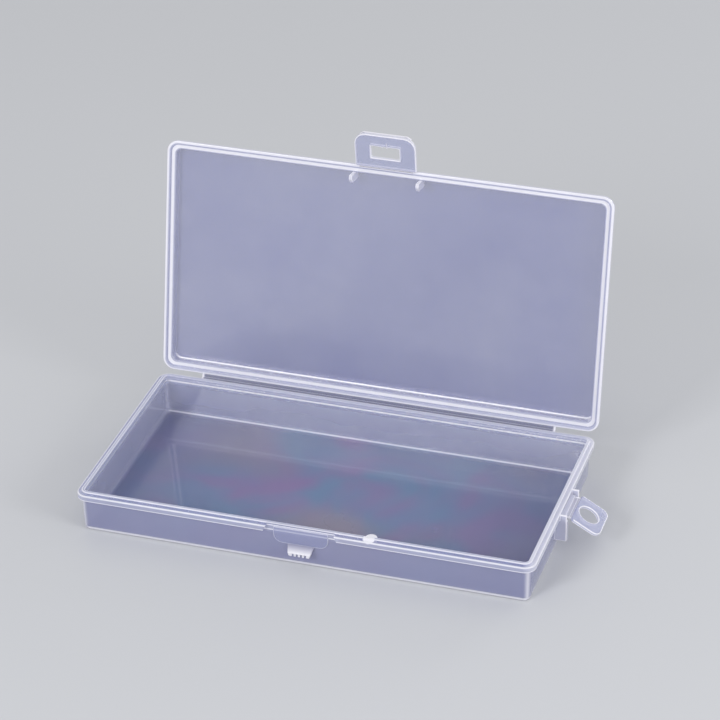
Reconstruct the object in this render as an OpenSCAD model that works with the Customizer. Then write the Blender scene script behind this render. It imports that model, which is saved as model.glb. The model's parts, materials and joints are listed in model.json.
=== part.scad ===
// Clear storage box with a hinged lid, a latch flap on the lid and a hanging flap on the right wall.
// The origin is the centre of the underside, +X runs along the box to the right and +Y to the hinge.
// Everything is moulded in one shot, so the nodes are the features of one piece of plastic. They
// touch face to face, and the lid and the two flaps swing on thin film hinges.
// The lid is drawn shut and then swung open, so the step joint, the fins and the latch share the
// sizes of the base that they meet.

/* [Box] */
// Length over the flange
box_l = 175; // [130:1:240]
// Depth over the flange, without the hinge
box_w = 93; // [70:1:130]
// Height of the base from the table to the shoulder of its flange
base_h = 16; // [14:0.5:30]
// Corner radius of the flange
corner_r = 4.5; // [3.9:0.1:8]
// Thickness of the walls
wall_t = 1.2; // [0.9:0.05:1.6]
// Thickness of the floor
floor_t = 1; // [0.7:0.05:2]
// Lean of the outer walls, from the flange down to the floor
wall_draft = 0.45; // [0.1:0.05:0.8]
// Radius under the outer edge of the floor
bottom_round = 1.5; // [0.5:0.1:1.7]
// Radius between the floor and the walls inside
inner_round = 0.8; // [0.2:0.1:1.2]

/* [Flange and step joint] */
// How far the flange stands out from the wall
flange_w = 1.7; // [1:0.1:2.2]
// Height of the outer face of the flange
flange_t = 2.2; // [1.4:0.1:3]
// Height of the slope under the flange
flange_slope = 1; // [0.4:0.1:1.6]
// Height of the inner lip above the shoulder
lip_h = 0.8; // [0.4:0.1:1.4]
// Width of the shoulder that the lid lands on
step_w = 1.45; // [1:0.05:1.7]
// Side clearance in the step joint
step_gap = 0.2; // [0.1:0.05:0.4]
// Clearance between the shut lid and the base
seat_gap = 0.15; // [0.1:0.05:0.3]

/* [Lid] */
// Height of the lid above the shoulder of the base
lid_h = 6; // [5:0.1:12]
// Thickness of the clear panel
panel_t = 1; // [0.6:0.05:1.6]
// Width of the rim of the lid
lid_rim_w = 3.3; // [3:0.1:3.7]
// Height of the outer face of the rim of the lid
lid_flange_t = 1.4; // [1:0.1:2]
// Height of the slope above that face
lid_slope = 0.45; // [0.2:0.05:0.8]
// Radius of the outer edge of the lid
lid_round = 1.4; // [0.5:0.1:1.6]
// Radius between the panel and the walls inside the lid
lid_inner_round = 0.6; // [0.2:0.1:0.8]
// Angle of the open lid, counted from shut
lid_open = 100; // [60:1:150]

/* [Lid hinge] */
// Distance from the flange back to the fold line
hinge_reach = 1.2; // [0.9:0.1:2]
// Thickness of the film
hinge_t = 0.5; // [0.3:0.05:0.6]
// Distance from each end of the film to the end of the box
hinge_end = 16.5; // [8:0.5:30]

/* [Lid fins] */
// Distance between the middles of the two fins
fin_pitch = 26; // [18:0.5:40]
// Thickness of a fin
fin_t = 1.2; // [0.8:0.1:2]
// Width of a fin, from front to back
fin_w = 3.3; // [2:0.1:5]
// How far a fin reaches below the rim of the lid
fin_drop = 3.9; // [2:0.1:6]
// Slope at the tip of a fin
fin_slope = 1.6; // [0.5:0.1:2]

/* [Latch gap and catch] */
// Width of the gap in the front flange
gap_w = 26; // [25:0.5:34]
// How much wider the gap is at the bottom, on each side
gap_bevel = 1.5; // [0:0.1:3]
// Width of the raised pad on the front wall
pad_w = 21; // [16:0.5:24]
// How far the pad stands out from the wall
pad_out = 0.35; // [0.2:0.05:0.45]
// Distance from the shoulder down to the top of the pad
pad_top_gap = 0.5; // [0.2:0.1:1.5]
// Radius of the lower corners of the pad
pad_r = 3.4; // [1:0.1:5]
// Width of the catch at its top
catch_w = 10; // [6:0.5:10.4]
// How much narrower the catch is at its teeth, on each side
catch_taper = 1.1; // [0.3:0.1:2]
// Height of the catch
catch_h = 3.4; // [2.4:0.1:4.4]
// Height of the upright face of the teeth
tooth_h = 1.3; // [0.8:0.1:1.6]
// How far the teeth stand out past the flange
catch_out = 1.2; // [0.6:0.1:1.3]
// Number of notches in the ledge
notch_count = 4; // [2:1:6]
// Width of a notch
notch_w = 0.8; // [0.4:0.1:1]
// Height of a notch
notch_h = 1.1; // [0.6:0.1:1.2]

/* [Latch flap] */
// Width of the flap
flap_w = 23.7; // [18:0.1:24]
// Thickness of the flap
flap_t = 1.3; // [0.9:0.1:1.6]
// Clearance between the latched flap and the pad
flap_gap = 0.35; // [0.2:0.05:0.5]
// Height of the flap's tip above the table when it is latched
flap_lift = 0.4; // [0.2:0.1:2]
// Radius of the corners at the tip
flap_r = 4.5; // [1:0.1:6]
// Radius of the corners at the hinge
flap_root_r = 0.6; // [0.2:0.1:1.5]
// Distance from the slot to the tip
slot_to_tip = 4.8; // [3.5:0.1:6]
// Height of the slot
slot_h = 5.4; // [4.6:0.1:6]
// Width of the slot
slot_w = 11.2; // [10.8:0.1:14]
// Gap between the ledge of the catch and the edge of the slot
ledge_gap = 0.4; // [0.3:0.05:0.8]
// Height of the finger lip along the tip
grip_h = 1.3; // [0.8:0.1:2.5]
// How far the finger lip stands out from the flap
grip_out = 0.9; // [0.4:0.1:2]
// Angle of the open flap, counted from the plane of the lid
flap_rest = 18; // [5:1:60]

/* [Latch hinge] */
// Distance of the fold line in from the flange's face
fold_in = 0.3; // [0.2:0.05:0.5]
// Distance of the fold line below the shoulder
fold_drop = 0.4; // [0.2:0.05:0.8]
// Distance from the fold line to the flap
fold_reach = 0.6; // [0.4:0.05:1]
// Thickness of the film
fold_t = 0.4; // [0.3:0.05:0.5]
// Distance from each end of the film to the side of the flap
fold_end = 0.8; // [0.2:0.1:3]

/* [Hanging flap] */
// Width of the flap
tab_w = 16.3; // [14:0.1:22]
// Length from the fold line to the tip
tab_l = 12.6; // [11.5:0.1:18]
// Thickness of the flap
tab_t = 1.2; // [0.8:0.1:2]
// Radius of the corners at the tip
tab_r = 3; // [1:0.1:5]
// Radius of the corners at the hinge
tab_root_r = 1.2; // [0.4:0.1:2.5]
// Radius of the hanging hole
hole_r = 4.05; // [2:0.05:4.5]
// Distance from the fold line to the middle of the hole
hole_at = 5.9; // [5.2:0.1:6.6]
// Angle that the flap droops below the horizontal
tab_droop = 30; // [0:1:60]

/* [Hanging flap hinge and brackets] */
// Distance from the shelf to the fold line
tab_fold = 1.3; // [1:0.1:2]
// Distance from the fold line to the flap
tab_reach = 0.5; // [0.3:0.1:1]
// Thickness of the film
tab_film_t = 0.4; // [0.3:0.05:0.5]
// Distance over both brackets
bracket_span = 18.8; // [17:0.1:26]
// Wall of a bracket
bracket_t = 0.8; // [0.6:0.1:1.4]
// How far a bracket stands out past the flange
bracket_out = 2.6; // [1.8:0.1:4]
// Height of the bottom of the brackets above the table
bracket_lift = 5; // [3:0.1:9]
// Length of the turned-in leg of a bracket
bracket_leg = 2.2; // [1.2:0.1:3.5]
// Gap between a turned-in leg and the film above it
leg_gap = 0.7; // [0.3:0.1:1.5]
// Thickness of the shelf
shelf_t = 1; // [0.6:0.1:1.8]

/* [Moulding mark] */
// Distance of the white mark to the right of the middle
nub_x = 26.5; // [20:0.5:60]
// Radius of the mark
nub_r = 2.35; // [1:0.05:3]
// Depth of the middle of the mark in from the flange's face
nub_in = 2.5; // [2:0.05:2.9]

/* [Hidden] */

$fn = 64;
round_steps = 4;
cut_over = 1;

half_l = box_l / 2;
half_w = box_w / 2;

// Base: the wall leans in from under the flange down to the rounded edge of the floor
tray_top = base_h - flange_t - flange_slope;
foot_inset = flange_w + wall_draft;
rim_in = flange_w + wall_t;
lip_top = base_h + lip_h;
floor_corner = min(inner_round, corner_r - foot_inset - wall_t);

// Lid, drawn shut
lid_seat = base_h + seat_gap;
lid_ledge = lip_top + seat_gap;
lid_rim_top = lid_seat + lid_flange_t + lid_slope;
lid_top = base_h + lid_h;
panel_low = lid_top - panel_t;
lid_corner = min(lid_inner_round, corner_r - lid_rim_w);
lid_edge = min(lid_round, corner_r - flange_w);
lid_axis_y = half_w + hinge_reach;
lid_axis_z = base_h;
hinge_l = box_l - 2 * hinge_end;

// Latch: depths are counted in from the face of the flange, and heights up from the table
fold_z = base_h - fold_drop;
pad_face = flange_w - pad_out;
flap_face = pad_face - flap_gap;
flap_low = fold_in - flap_face;
flap_l = fold_z - flap_lift;
slot_far = flap_l - slot_to_tip;
ledge_z = fold_z - slot_far + ledge_gap;
catch_top = ledge_z + catch_h;
pad_top = base_h - pad_top_gap;
pad_h = pad_top - catch_top;
pad_corner = min(pad_r, pad_h);
tooth_top = ledge_z + tooth_h;
ledge_half = catch_w / 2 - catch_taper;
notch_pitch = 2 * ledge_half / (notch_count + 1);

// Hanging flap and what carries it
shelf_z = base_h - flange_t;
shelf_out = bracket_out - bracket_t;
leg_inner = bracket_span / 2 - bracket_leg;
tab_axis_x = half_l + shelf_out + tab_fold;
tab_axis_z = shelf_z + tab_film_t / 2;

milky = [0.8, 0.81, 0.89, 0.75];
clear = [0.62, 0.64, 0.76, 0.45];
white = [0.93, 0.93, 0.97, 0.9];

// Depth of the outer face of the wall, in from the flange's face, at a height above the table
function wall_face(z) = z >= tray_top
    ? flange_w
    : flange_w + wall_draft * (tray_top - z) / (tray_top - bottom_round);

// Points along an arc
function arc(centre, r, from, to) = [
    for (i = [0:round_steps])
        let (a = from + (to - from) * i / round_steps)
        centre + r * [cos(a), sin(a)]
];

// Section of a film that runs to a fold line at its origin and on past it, turned down by an angle.
// It lies between two heights, low and high, of which one may be the height of the fold line.
module film_section(before, after, low, high, turn) {
    along = [cos(turn), -sin(turn)];
    across = [sin(turn), cos(turn)];
    polygon([
        [-before, high],
        [high * tan(turn / 2), high],
        after * along + high * across,
        after * along + low * across,
        [low * tan(turn / 2), low],
        [-before, low]
    ]);
}

// Sweeps a section round the box. The section's own x runs out from the centre of a corner.
module sweep_round() {
    half_x = half_l - corner_r;
    half_y = half_w - corner_r;
    sides = [[1, 1], [-1, 1], [-1, -1], [1, -1]];
    for (i = [0:3]) {
        run = 2 * (i % 2 == 0 ? half_y : half_x);
        translate([sides[i].x * half_x, sides[i].y * half_y, 0])
            rotate([0, 0, 90 * i]) {
                rotate_extrude(angle = 90) children();
                rotate([90, 0, 0]) linear_extrude(run) children();
            }
    }
}

// Plate between the corner centres, from one height to another
module middle_plate(low, high) {
    size_x = box_l - 2 * corner_r;
    size_y = box_w - 2 * corner_r;
    translate([-size_x / 2, -size_y / 2, low]) cube([size_x, size_y, high - low]);
}

// Solid with a section in Y and Z that runs along X, centred on a place
module along_x(length, centre = 0) {
    translate([centre - length / 2, 0, 0])
        rotate([90, 0, 90]) linear_extrude(length) children();
}

// Solid with a section in X and Z that runs along Y, from front to back
module along_y(front, back) {
    translate([0, back, 0]) rotate([90, 0, 0]) linear_extrude(back - front) children();
}

// Rectangle whose corners have one radius at its near end, at y = 0, and another at its far end
module rounded_plate(width, length, near_r, far_r) {
    half = width / 2;
    translate([-half, near_r]) square([width, length - near_r - far_r]);
    translate([near_r - half, 0]) square([width - 2 * near_r, near_r]);
    translate([far_r - half, length - far_r]) square([width - 2 * far_r, far_r]);
    for (side = [-1, 1]) {
        translate([side * (half - near_r), near_r]) circle(near_r);
        translate([side * (half - far_r), length - far_r]) circle(far_r);
    }
}

// Floor and walls
module base_tray() {
    foot_x = corner_r - foot_inset;
    inner_x = foot_x - wall_t - floor_corner;
    section = concat(
        [[0, 0]],
        arc([foot_x - bottom_round, bottom_round], bottom_round, -90, 0),
        [[corner_r - flange_w, tray_top], [corner_r - rim_in, tray_top]],
        arc([inner_x, floor_t + floor_corner], floor_corner, 0, -90),
        [[0, floor_t]]
    );
    color(milky) {
        sweep_round() polygon(section);
        middle_plate(0, floor_t);
    }
}

// Flange with its shoulder and lip, and the gap at the front that the latch flap folds into
module base_rim() {
    lip_x = corner_r - step_w - step_gap / 2;
    gap_low = gap_w / 2 + gap_bevel;
    color(milky) difference() {
        sweep_round() polygon([
            [corner_r - rim_in, tray_top],
            [corner_r - flange_w, tray_top],
            [corner_r, base_h - flange_t],
            [corner_r, base_h],
            [lip_x, base_h],
            [lip_x, lip_top],
            [corner_r - rim_in, lip_top]
        ]);
        along_y(-half_w - cut_over, -half_w + flange_w) polygon([
            [-gap_w / 2, lip_top + cut_over],
            [-gap_w / 2, base_h],
            [-gap_low, tray_top],
            [-gap_low, tray_top - cut_over],
            [gap_low, tray_top - cut_over],
            [gap_low, tray_top],
            [gap_w / 2, base_h],
            [gap_w / 2, lip_top + cut_over]
        ]);
    }
}

// Raised pad under the gap, with rounded lower corners
module catch_pad() {
    color(milky) intersection() {
        along_x(pad_w) polygon([
            [-half_w + pad_face, catch_top],
            [-half_w + pad_face, pad_top],
            [-half_w + wall_face(pad_top), pad_top],
            [-half_w + wall_face(tray_top), tray_top],
            [-half_w + wall_face(catch_top), catch_top]
        ]);
        along_y(-half_w - cut_over, -half_w + rim_in) translate([0, catch_top])
            rounded_plate(pad_w, pad_h + cut_over, pad_corner, cut_over / 2);
    }
}

// Wedge that the flap snaps over, with notches that leave a row of teeth along its ledge
module catch() {
    color(white) difference() {
        intersection() {
            along_x(catch_w) polygon([
                [-half_w + wall_face(catch_top), catch_top],
                [-half_w + pad_face, catch_top],
                [-half_w - catch_out, tooth_top],
                [-half_w - catch_out, ledge_z],
                [-half_w + wall_face(ledge_z), ledge_z]
            ]);
            along_y(-half_w - catch_out - cut_over, -half_w + rim_in) polygon([
                [-ledge_half, ledge_z],
                [ledge_half, ledge_z],
                [catch_w / 2, catch_top],
                [-catch_w / 2, catch_top]
            ]);
        }
        for (i = [1:notch_count])
            translate([i * notch_pitch - ledge_half, 0, ledge_z])
                along_y(-half_w - catch_out - cut_over, -half_w + flap_face) {
                    translate([0, notch_h - notch_w / 2]) circle(notch_w / 2);
                    translate([-notch_w / 2, -cut_over])
                        square([notch_w, notch_h - notch_w / 2 + cut_over]);
                }
    }
}

// White mark where the plastic entered the mould: a bulge inside the front rim, flush with its lip
module gate_nub() {
    color(white) intersection() {
        translate([nub_x, -half_w + nub_in, base_h]) sphere(nub_r);
        translate([nub_x - nub_r, -half_w + rim_in, lip_top - 2 * nub_r])
            cube([2 * nub_r, 2 * nub_r, 2 * nub_r]);
    }
}

// Angle bracket: a plate that stands out from the wall, and a leg turned in at its outer edge
module hang_bracket(side) {
    wall_x = half_l - wall_face(bracket_lift);
    outer = bracket_span / 2;
    leg_top = shelf_z - leg_gap;
    leg_y = side > 0 ? leg_inner : -outer;
    color(milky) {
        along_y(min(side * outer, side * (outer - bracket_t)), max(side * outer, side * (outer - bracket_t)))
            polygon([
                [wall_x, bracket_lift],
                [half_l + bracket_out, bracket_lift],
                [half_l + bracket_out, base_h],
                [half_l, base_h],
                [half_l, base_h - flange_t],
                [half_l - flange_w, tray_top]
            ]);
        translate([half_l + shelf_out, leg_y, bracket_lift])
            cube([bracket_t, bracket_leg, leg_top - bracket_lift]);
    }
}

module hang_bracket_front() hang_bracket(-1);

module hang_bracket_rear() hang_bracket(1);

// Strip on the flange that carries the film of the hanging flap
module hang_shelf() {
    color(milky) translate([half_l, -leg_inner, shelf_z])
        cube([shelf_out, 2 * leg_inner, shelf_t]);
}

// Film between the shelf and the hanging flap
module hang_hinge() {
    color(clear) translate([tab_axis_x, 0, tab_axis_z]) along_y(-leg_inner, leg_inner)
        film_section(tab_fold, tab_reach, -tab_film_t / 2, tab_film_t / 2, tab_droop);
}

// Flap with the hanging hole
module hang_flap() {
    color(milky) translate([tab_axis_x, 0, tab_axis_z]) rotate([0, tab_droop, 0])
        translate([0, 0, -tab_film_t / 2]) rotate([0, 0, -90]) linear_extrude(tab_t) difference() {
            translate([0, tab_reach]) rounded_plate(tab_w, tab_l - tab_reach, tab_root_r, tab_r);
            translate([0, hole_at]) circle(hole_r);
        }
}

// Film between the base and the lid, with its inner face in the plane where they meet
module lid_hinge() {
    color(clear) translate([0, lid_axis_y, lid_axis_z]) along_x(hinge_l)
        film_section(hinge_reach, hinge_reach, -hinge_t, 0, lid_open - 180);
}

// Swings a piece of the shut lid open
module open_lid() {
    translate([0, lid_axis_y, lid_axis_z]) rotate([-lid_open, 0, 0])
        translate([0, -lid_axis_y, -lid_axis_z]) children();
}

// Clear panel and the low walls round it
module lid_panel() {
    outer_x = corner_r - flange_w;
    inner_x = corner_r - lid_rim_w;
    section = concat(
        [[inner_x, lid_rim_top], [outer_x, lid_rim_top]],
        arc([outer_x - lid_edge, lid_top - lid_edge], lid_edge, 0, 90),
        [[0, lid_top], [0, panel_low]],
        arc([inner_x - lid_corner, panel_low - lid_corner], lid_corner, 90, 0)
    );
    color(clear) open_lid() {
        sweep_round() polygon(section);
        middle_plate(panel_low, lid_top);
    }
}

// Rim of the lid: its outer band lands on the shoulder of the base, its ledge clears the lip
module lid_rim() {
    band_x = corner_r - step_w + step_gap / 2;
    color(milky) open_lid() sweep_round() polygon([
        [corner_r, lid_seat],
        [corner_r, lid_seat + lid_flange_t],
        [corner_r - flange_w, lid_rim_top],
        [corner_r - lid_rim_w, lid_rim_top],
        [corner_r - lid_rim_w, lid_ledge],
        [band_x, lid_ledge],
        [band_x, lid_seat]
    ]);
}

// Blade that drops inside the front wall of the base and keeps it from bowing when the latch pulls
module lid_fin(side) {
    front = -half_w + lid_rim_w;
    back = front + fin_w;
    low = lid_seat - fin_drop;
    color(milky) open_lid() along_x(fin_t, side * fin_pitch / 2) polygon([
        [front, low + fin_slope / 4],
        [front, panel_low - lid_corner],
        [front + lid_corner, panel_low],
        [back, panel_low],
        [back, low + fin_slope],
        [back - fin_slope, low],
        [front + fin_slope / 4, low]
    ]);
}

module lid_fin_left() lid_fin(-1);

module lid_fin_right() lid_fin(1);

// Film between the rim of the lid and the latch flap
module latch_hinge() {
    color(clear) open_lid() translate([0, -half_w + fold_in, fold_z])
        along_x(flap_w - 2 * fold_end) rotate(-90)
            film_section(lid_seat - fold_z, fold_reach, -fold_t / 2, fold_t / 2, 90 - flap_rest);
}

// Places a piece of the latch flap: its x runs across the flap, its y out from the fold line
module latch_place(low, thickness) {
    open_lid() translate([0, -half_w + fold_in, fold_z]) rotate([flap_rest, 0, 0])
        translate([0, 0, low]) mirror([0, 1, 0]) linear_extrude(thickness) children();
}

// Outline of the latch flap
module flap_outline() {
    translate([0, fold_reach])
        rounded_plate(flap_w, flap_l - fold_reach, flap_root_r, flap_r);
}

// Plate with the slot that drops over the catch
module latch_flap() {
    color(milky) latch_place(flap_low, flap_t) difference() {
        flap_outline();
        translate([-slot_w / 2, slot_far - slot_h]) square([slot_w, slot_h]);
    }
}

// Finger lip along the tip, on the outer side of the flap
module latch_lip() {
    color(white) latch_place(flap_low + flap_t, grip_out) intersection() {
        flap_outline();
        translate([-flap_w / 2, flap_l - grip_h]) square([flap_w, grip_h]);
    }
}

base_tray();
base_rim();
catch_pad();
catch();
gate_nub();
hang_bracket_front();
hang_bracket_rear();
hang_shelf();
hang_hinge();
hang_flap();
lid_hinge();
lid_panel();
lid_rim();
lid_fin_left();
lid_fin_right();
latch_hinge();
latch_flap();
latch_lip();
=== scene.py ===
# %% [markdown]
# A flat storage box, moulded in one shot from milky see-through polypropylene. The base, the lid and two
# small flaps are one piece of plastic, and thin films between them act as hinges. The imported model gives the
# frame: where each part is, how large it is and where it folds. This lesson builds a rounded, finished mesh
# for every part of it, and a plastic whose edges glow white while its walls stay clear.

# %% The frame
import json
import math
from collections import namedtuple

import bmesh
import bpy
from mathutils import Matrix, Vector, geometry


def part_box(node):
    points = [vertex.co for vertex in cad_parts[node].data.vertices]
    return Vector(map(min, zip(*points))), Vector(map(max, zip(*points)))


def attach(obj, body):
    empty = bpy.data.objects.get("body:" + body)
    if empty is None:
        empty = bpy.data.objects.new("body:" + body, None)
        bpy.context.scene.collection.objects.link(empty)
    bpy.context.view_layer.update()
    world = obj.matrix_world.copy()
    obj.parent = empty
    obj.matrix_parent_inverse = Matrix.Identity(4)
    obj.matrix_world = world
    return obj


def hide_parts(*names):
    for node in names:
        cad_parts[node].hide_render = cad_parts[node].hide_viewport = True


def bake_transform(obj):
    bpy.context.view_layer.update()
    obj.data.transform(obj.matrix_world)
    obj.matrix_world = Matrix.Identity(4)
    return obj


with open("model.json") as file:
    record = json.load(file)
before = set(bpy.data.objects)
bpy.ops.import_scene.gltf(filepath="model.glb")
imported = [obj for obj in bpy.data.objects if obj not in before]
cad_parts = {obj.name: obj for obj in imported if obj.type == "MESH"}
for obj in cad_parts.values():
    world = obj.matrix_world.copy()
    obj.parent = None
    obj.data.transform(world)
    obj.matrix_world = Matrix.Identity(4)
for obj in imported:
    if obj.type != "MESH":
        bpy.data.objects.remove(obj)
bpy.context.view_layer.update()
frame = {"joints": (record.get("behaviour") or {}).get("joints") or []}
joints = {joint["name"]: joint for joint in frame["joints"]}

# %% [markdown]
# The sizes come from the frame where it states them. A node's box gives the outline of the flange, the
# height of the shoulder and the top of the walls, and a joint gives a fold line and how far the part stands
# from shut. What a box can't say, such as the thickness of a wall, is a named size of its own. All of them
# are in metres.

# %% Sizes of the base
MM = 0.001
rim_low, rim_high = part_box("base_rim")
tray_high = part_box("base_tray")[1]
HALF_L = rim_high.x
HALF_W = -rim_low.y
LIP_TOP = rim_high.z
TRAY_TOP = tray_high.z
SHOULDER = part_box("hang_bracket_front")[1].z
FLANGE_W = HALF_L - tray_high.x
CORNER_R = 4.5 * MM
WALL_T = 1.2 * MM
FLOOR_T = 1.0 * MM
WALL_LEAN = 0.45 * MM
FOOT_ROUND = 1.5 * MM
FLOOR_ROUND = 0.28 * MM
FLANGE_FACE = 2.2 * MM
LIP_IN = 1.55 * MM
RIM_IN = FLANGE_W + WALL_T
EDGE_ROUND = 0.25 * MM
STEP_ROUND = 0.1 * MM
LIP_ROUND = 0.2 * MM
print(f"base: {2 * HALF_L / MM:.1f} x {2 * HALF_W / MM:.1f} mm, shoulder at {SHOULDER / MM:.1f} mm")

# %% [markdown]
# The lid is measured as it lies when shut, up from the shoulder of the base. A gap keeps it just clear of
# what it seats on. It could be drawn open instead, as the photograph shows it, but then none of its heights
# would match those of the base. One matrix, open_lid, swings anything drawn this way open.

# %% Sizes of the lid
lid_axis = Vector(joints["lid_fold"]["pos_m"])
LID_OPEN = math.radians(joints["lid_fold"]["range_deg"][1])
open_lid = Matrix.Translation(lid_axis) @ Matrix.Rotation(-LID_OPEN, 4, "X") @ Matrix.Translation(-lid_axis)
SEAT_GAP = 0.15 * MM
LID_SEAT = SHOULDER + SEAT_GAP
LID_LEDGE = LIP_TOP + SEAT_GAP
LID_FACE = LID_SEAT + 1.4 * MM
LID_RIM_TOP = LID_FACE + 0.45 * MM
LID_TOP = SHOULDER + 6.0 * MM
PANEL_LOW = LID_TOP - 1.0 * MM
LID_RIM_W = 3.3 * MM
LID_BAND = 1.35 * MM
LID_ROUND = 1.4 * MM
LID_FILLET = 0.3 * MM
LID_STEP_ROUND = 0.12 * MM
print(f"lid: stands {math.degrees(LID_OPEN):.0f} degrees from shut")

# %% [markdown]
# The photograph was taken with a long lens from the front and a little to the right, looking down by about
# thirty degrees. Setting the camera first means that every later step can be judged against it. A camera
# could be placed by eye, but this one was solved from the corners of the box, so it is written as what a
# photographer would note: what it looks at, from which direction, how far away, and how much it is rolled.

# %% The camera
AIM = Vector((-5.3, 29.6, 19.7)) * MM
CAMERA_AZIMUTH = math.radians(18.09)
CAMERA_ELEVATION = math.radians(31.20)
CAMERA_ROLL = math.radians(-0.91)
CAMERA_DISTANCE = 1.25
LENS_MM = 164.5
SHIFT_X, SHIFT_Y = 0.0156, 0.0777
back = Vector((
    math.sin(CAMERA_AZIMUTH) * math.cos(CAMERA_ELEVATION),
    -math.cos(CAMERA_AZIMUTH) * math.cos(CAMERA_ELEVATION),
    math.sin(CAMERA_ELEVATION),
))
camera = bpy.data.objects.new("camera", bpy.data.cameras.new("camera"))
camera.data.lens = LENS_MM
camera.data.shift_x, camera.data.shift_y = SHIFT_X, SHIFT_Y
turned = (-back).to_track_quat("-Z", "Y").to_matrix().to_4x4() @ Matrix.Rotation(CAMERA_ROLL, 4, "Z")
camera.matrix_world = Matrix.Translation(AIM + back * CAMERA_DISTANCE) @ turned
bpy.context.scene.collection.objects.link(camera)
bpy.context.scene.camera = camera
print("camera at", [round(c, 3) for c in camera.matrix_world.translation])

# %% [markdown]
# A finish is a small network of nodes. Wiring it by hand takes many lines, so two classes shorten it. Value
# wraps the output of a node, and arithmetic on it adds Math nodes, so a mask can be written as a formula.
# Finish holds the material, and its node method makes any node from its type, settings and sockets. The
# sockets of a Mix node share their names, so they go by number: 6 and 7 are its two colours.

# %% A small language for finishes
class Value:
    """What a node puts out. Arithmetic on it adds Math nodes to the same finish."""

    def __init__(self, finish, socket):
        self.finish, self.socket = finish, socket

    def maths(self, operation, first, second):
        return self.finish.node("ShaderNodeMath", {"operation": operation}, {0: first, 1: second})

    def __add__(self, other):
        return self.maths("ADD", self, other)

    def __rsub__(self, other):
        return self.maths("SUBTRACT", other, self)

    def __mul__(self, other):
        return self.maths("MULTIPLY", self, other)

    def __pow__(self, other):
        return self.maths("POWER", self, other)

    __radd__, __rmul__ = __add__, __mul__


class Finish:
    """A material that is built from nodes, each made by one method."""

    def __init__(self, name):
        self.material = bpy.data.materials.new(name)
        self.material.use_nodes = True
        self.tree = self.material.node_tree
        self.tree.nodes.clear()

    def node(self, kind, settings=None, sockets=None, output=0):
        made = self.tree.nodes.new(kind)
        for name, value in (settings or {}).items():
            setattr(made, name, value)
        for name, value in (sockets or {}).items():
            if isinstance(value, Value):
                self.tree.links.new(value.socket, made.inputs[name])
            else:
                made.inputs[name].default_value = value
        return Value(self, made.outputs[output]) if made.outputs else None

    def mix_colours(self, factor, first, second):
        return self.node("ShaderNodeMix", {"data_type": "RGBA"}, {0: factor, 6: first, 7: second}, output=2)

    def mix_shaders(self, factor, first, second):
        return self.node("ShaderNodeMixShader", sockets={0: factor, 1: first, 2: second})


trial = Finish("trial")
print("two mixed colours come out as", trial.mix_colours(0.5, (0, 0, 0, 1), (1, 1, 1, 1)).socket.type)
bpy.data.materials.remove(trial.material)

# %% [markdown]
# See-through plastic is drawn by what lies around and behind it, so the studio is plain. The box stands on
# one wide pale sheet, a hair lower than its foot, so that no two faces share a height. A curved backdrop
# could stand behind it, but seen from above a sheet this wide fills the picture by itself.

# %% The floor
FLOOR_COLOUR = (0.54, 0.55, 0.575, 1)
FLOOR_REACH = 12.0
FLOOR_DROP = 0.02 * MM


def studio_floor():
    bm = bmesh.new()
    bmesh.ops.create_grid(bm, x_segments=8, y_segments=8, size=FLOOR_REACH)
    mesh = bpy.data.meshes.new("floor")
    bm.to_mesh(mesh)
    bm.free()
    floor = bpy.data.objects.new("floor", mesh)
    floor.location.z = -FLOOR_DROP
    finish = Finish("floor")
    paint = finish.node("ShaderNodeBsdfPrincipled", sockets={
        "Base Color": FLOOR_COLOUR, "Roughness": 0.42, "Specular IOR Level": 0.35,
    })
    finish.node("ShaderNodeOutputMaterial", sockets={"Surface": paint})
    mesh.materials.append(finish.material)
    bpy.context.scene.collection.objects.link(floor)


studio_floor()
print("floor:", 2 * FLOOR_REACH, "m wide,", round(FLOOR_DROP / MM, 2), "mm under the box")

# %% [markdown]
# A pale sky and wide soft lamps leave long gentle highlights along rounded edges. Lamps and sky together
# light a white surface to just under white, so colours render about as they are written. One plain sky could
# do without a node, but then what is seen behind the walls couldn't be set apart from what lights them. The
# Light Path node gives one strength to the camera and the reflections, and another to the light.

# %% The sky and the lamps
SKY_COLOUR = (0.985, 0.99, 1, 1)
SKY_SEEN = 0.60
SKY_LIGHT = 0.74
LAMP_AIM = Vector((0, 0.02, 0.03))


def soft_lamp(name, place, size, watts):
    """A square soft lamp that faces the middle of the box."""
    lamp = bpy.data.objects.new(name, bpy.data.lights.new(name, "AREA"))
    lamp.data.shape, lamp.data.size, lamp.data.energy = "SQUARE", size, watts
    lamp.location = place
    lamp.rotation_euler = (LAMP_AIM - Vector(place)).to_track_quat("-Z", "Y").to_euler()
    bpy.context.scene.collection.objects.link(lamp)


def studio_sky():
    world = bpy.data.worlds.new("studio")
    bpy.context.scene.world = world
    world.use_nodes = True
    tree = world.node_tree
    paths = tree.nodes.new("ShaderNodeLightPath")
    seen = tree.nodes.new("ShaderNodeMath")
    seen.operation = "MAXIMUM"
    tree.links.new(paths.outputs["Is Camera Ray"], seen.inputs[0])
    tree.links.new(paths.outputs["Is Glossy Ray"], seen.inputs[1])
    level = tree.nodes.new("ShaderNodeMapRange")
    tree.links.new(seen.outputs[0], level.inputs["Value"])
    level.inputs["To Min"].default_value = SKY_LIGHT
    level.inputs["To Max"].default_value = SKY_SEEN
    tree.links.new(level.outputs[0], tree.nodes["Background"].inputs["Strength"])
    tree.nodes["Background"].inputs["Color"].default_value = SKY_COLOUR


studio_sky()
soft_lamp("lamp_key", (-0.55, -1.25, 0.80), 0.50, 11.0)
soft_lamp("lamp_right", (1.00, -0.35, 0.45), 0.45, 4.5)
soft_lamp("lamp_back", (0.60, 1.20, 0.35), 0.45, 2.5)
bpy.context.scene.view_settings.view_transform = "Standard"
bpy.context.scene.cycles.transparent_max_bounces = 32
print("studio: a sky and 3 lamps")

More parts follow.
